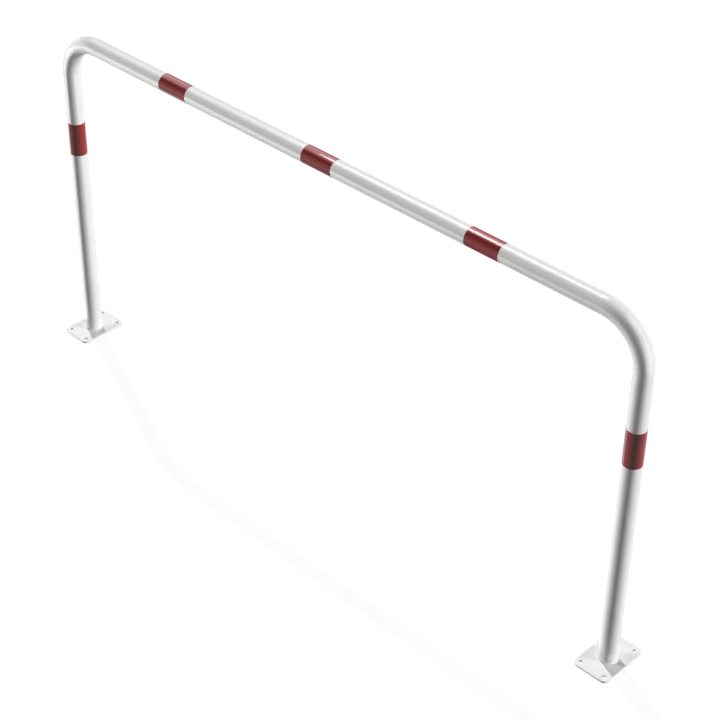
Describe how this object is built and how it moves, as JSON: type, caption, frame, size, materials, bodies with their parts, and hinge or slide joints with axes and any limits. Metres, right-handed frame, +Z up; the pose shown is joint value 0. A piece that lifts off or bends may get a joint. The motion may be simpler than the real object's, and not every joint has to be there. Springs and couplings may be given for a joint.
{
  "type": "steel barrier hoop",
  "caption": "Barrier hoop of one bent round steel tube, white with red film bands, its legs welded to round-cornered base plates with bolt holes for fixing to the ground.",
  "frame": {"origin": "on the ground, midway between the legs, at the bottom centre of the bounding box", "axes": "+X along the rail towards the right leg, +Y across the rail, away from the picture's viewer, +Z up"},
  "size_m": [2.052, 0.15, 1.0064],
  "materials": {
    "white_powder_coat": "glossy white powder coat",
    "red_film": "glossy red film"
  },
  "bodies": {
    "root": {"hoop_tube": "white_powder_coat", "left_base_plate": "white_powder_coat", "right_base_plate": "white_powder_coat", "left_weld_bead": "white_powder_coat", "right_weld_bead": "white_powder_coat", "left_leg_band": "red_film", "right_leg_band": "red_film", "left_rail_band": "red_film", "middle_rail_band": "red_film", "right_rail_band": "red_film"}
  },
  "joints": []
}
